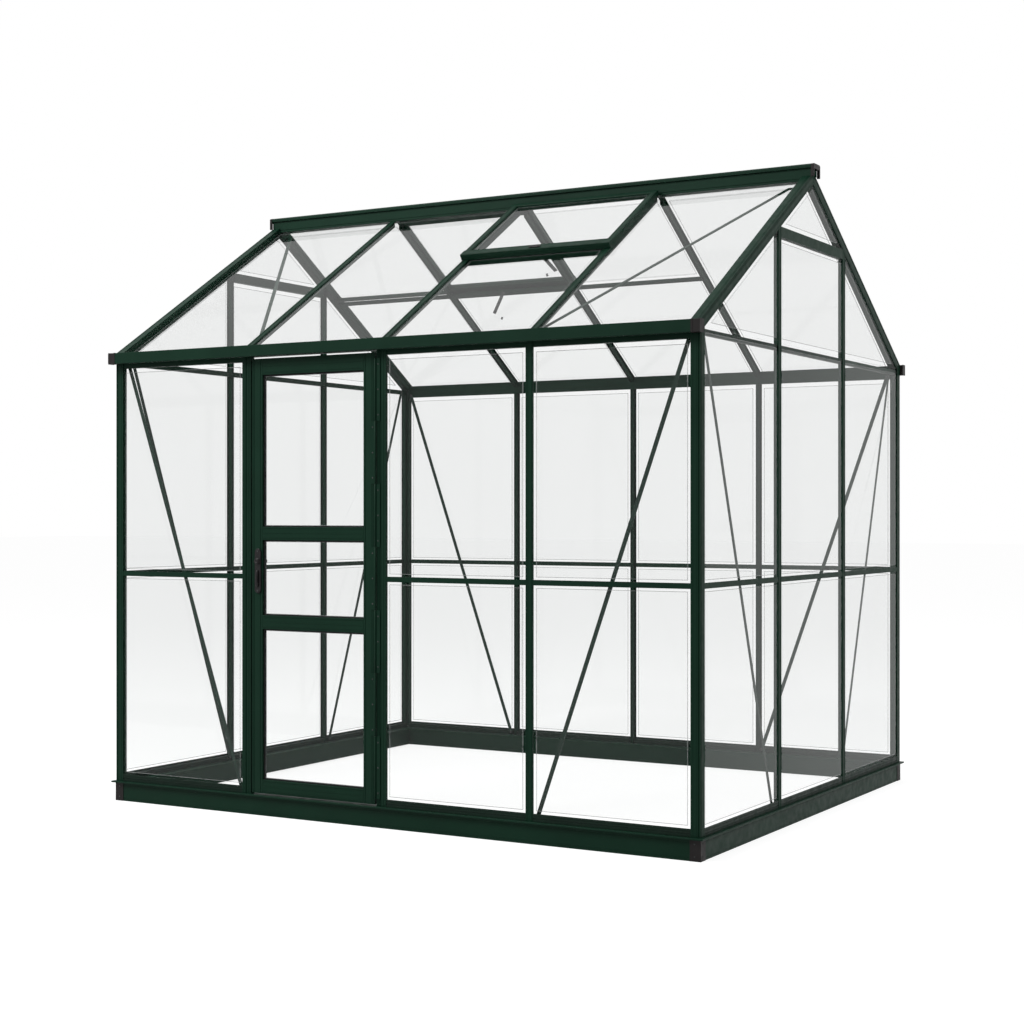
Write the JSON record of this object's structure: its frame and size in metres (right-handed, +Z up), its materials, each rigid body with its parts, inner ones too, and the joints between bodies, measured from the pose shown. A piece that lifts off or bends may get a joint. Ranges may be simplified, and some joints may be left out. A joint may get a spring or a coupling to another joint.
{
  "type": "polycarbonate greenhouse",
  "caption": "Apex-roofed greenhouse with a dark green aluminium frame, clear panes, a hinged door in one long wall and a roof vent on each slope.",
  "frame": {"origin": "on the ground under the middle of the base", "axes": "+X to the right along the front wall, +Y to the back, +Z up; the door is in the front wall, at -Y"},
  "size_m": [2.554, 2.146, 2.4529],
  "materials": {
    "frame_green": "satin dark green powder coat",
    "dark_green": "satin dark green powder coat",
    "brace_green": "satin dark green powder coat",
    "black_plastic": "matte",
    "handle_black": "semi-matte",
    "dark_steel": "satin",
    "clear_pane": "clear, smooth"
  },
  "bodies": {
    "frame": {"base_front": "frame_green", "base_back": "frame_green", "base_left": "frame_green", "base_right": "frame_green", "base_corner_covers": "black_plastic", "wall_sills": "dark_green", "front_corner_posts": "frame_green", "back_corner_posts": "frame_green", "door_jamb_left": "frame_green", "door_jamb_right": "frame_green", "front_stud": "frame_green", "back_studs": "frame_green", "gable_studs": "frame_green", "front_eave_beam": "frame_green", "back_eave_beam": "frame_green", "front_gutter": "frame_green", "back_gutter": "frame_green", "gutter_end_caps": "black_plastic", "ridge_beam": "frame_green", "ridge_end_caps": "black_plastic", "left_gable_rafters": "frame_green", "right_gable_rafters": "frame_green", "front_rafters": "frame_green", "back_rafters": "frame_green", "gable_eave_bars": "frame_green", "gable_top_bars": "frame_green", "mid_rails": "frame_green", "wall_braces": "brace_green", "roof_braces": "brace_green", "roof_crossbars": "frame_green", "front_wall_glazing": "clear_pane", "back_wall_glazing": "clear_pane", "left_gable_glazing": "clear_pane", "right_gable_glazing": "clear_pane", "front_roof_glazing": "clear_pane", "back_roof_glazing": "clear_pane", "roof_vent_end_bars": "frame_green", "roof_vent_side_bars": "frame_green", "roof_vent_glazing": "clear_pane", "roof_vent_stays": "dark_steel", "jamb_hinge_knuckles": "frame_green"},
    "door": {"door_hinge_knuckles": "frame_green", "door_stiles": "frame_green", "door_rails": "frame_green", "door_glazing": "clear_pane", "door_handle": "handle_black"}
  },
  "joints": [
    {"name": "door_hinge", "type": "hinge", "parent": "frame", "child": "door", "pos_m": [-0.018, -1.043, 0], "axis": [0, 0, 1], "range_deg": [0, 110]}
  ]
}
